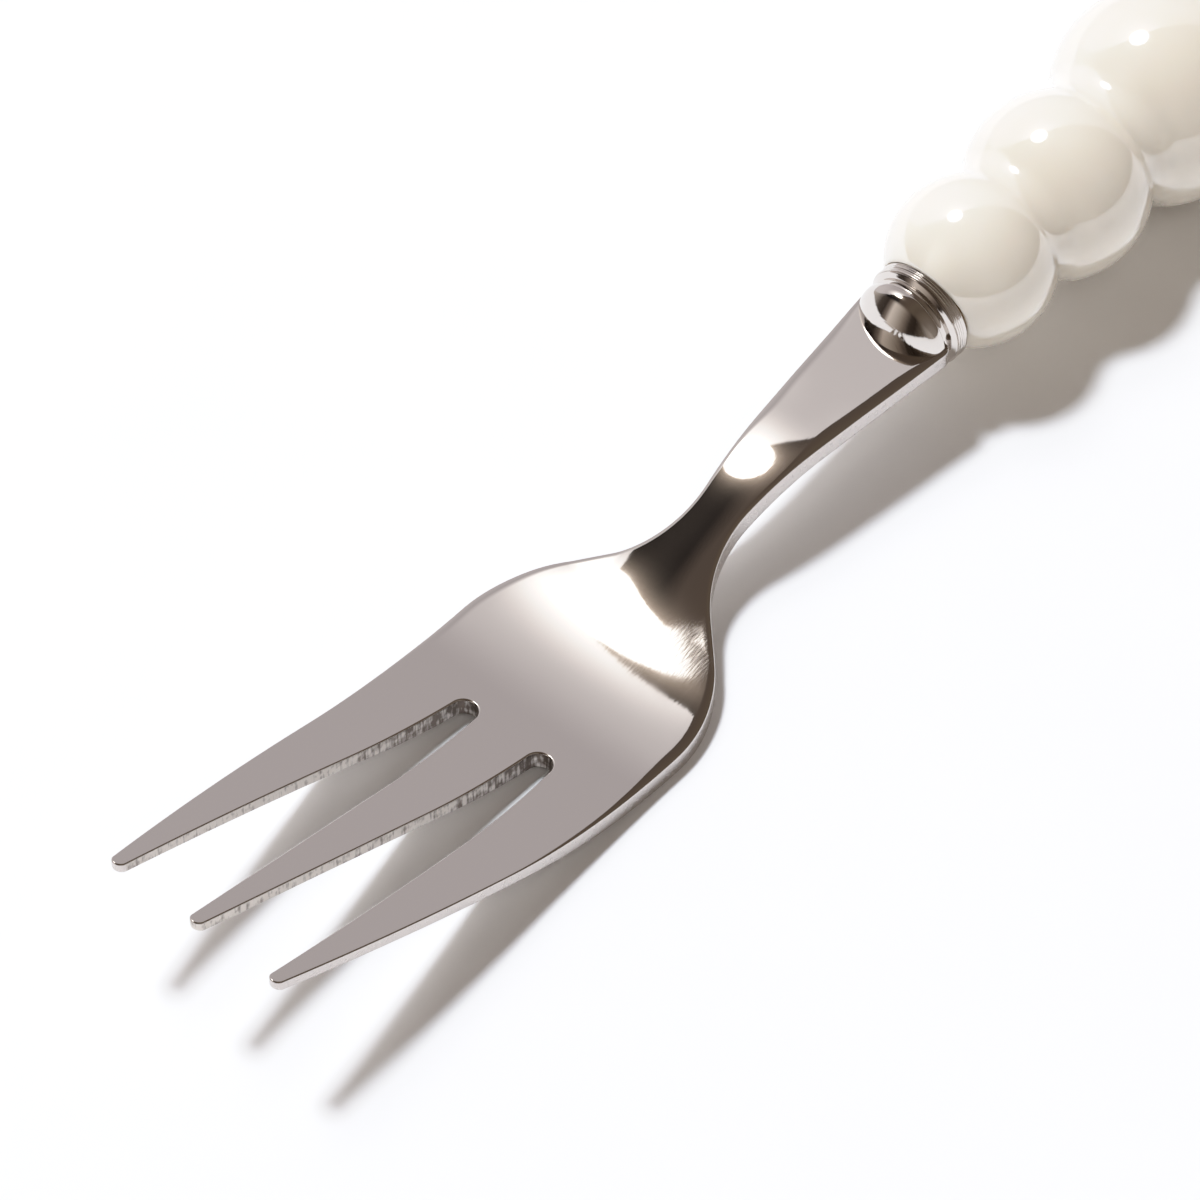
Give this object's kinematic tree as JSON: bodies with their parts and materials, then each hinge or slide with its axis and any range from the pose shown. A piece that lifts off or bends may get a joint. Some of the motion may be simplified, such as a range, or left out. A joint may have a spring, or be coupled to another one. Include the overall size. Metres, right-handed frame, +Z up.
{
  "type": "dessert fork",
  "caption": "Small table fork with polished steel tines, a turned steel bolster and a glossy ivory beaded handle.",
  "frame": {"origin": "middle of the bottom face of the fork's box, on the table the fork lies on", "axes": "+X along the fork toward the handle end, +Y across the tines, +Z up from the table"},
  "size_m": [0.1472, 0.0222, 0.0202],
  "materials": {
    "tine_steel": "mirror polished faces, satin edges",
    "bolster_steel": "turned and polished",
    "epoxy": "cured amber cement",
    "ivory_glaze": "glossy ivory glaze"
  },
  "bodies": {
    "root": {"fork_blank": "tine_steel", "bolster": "bolster_steel", "epoxy_bond": "epoxy", "handle": "ivory_glaze"}
  },
  "joints": []
}
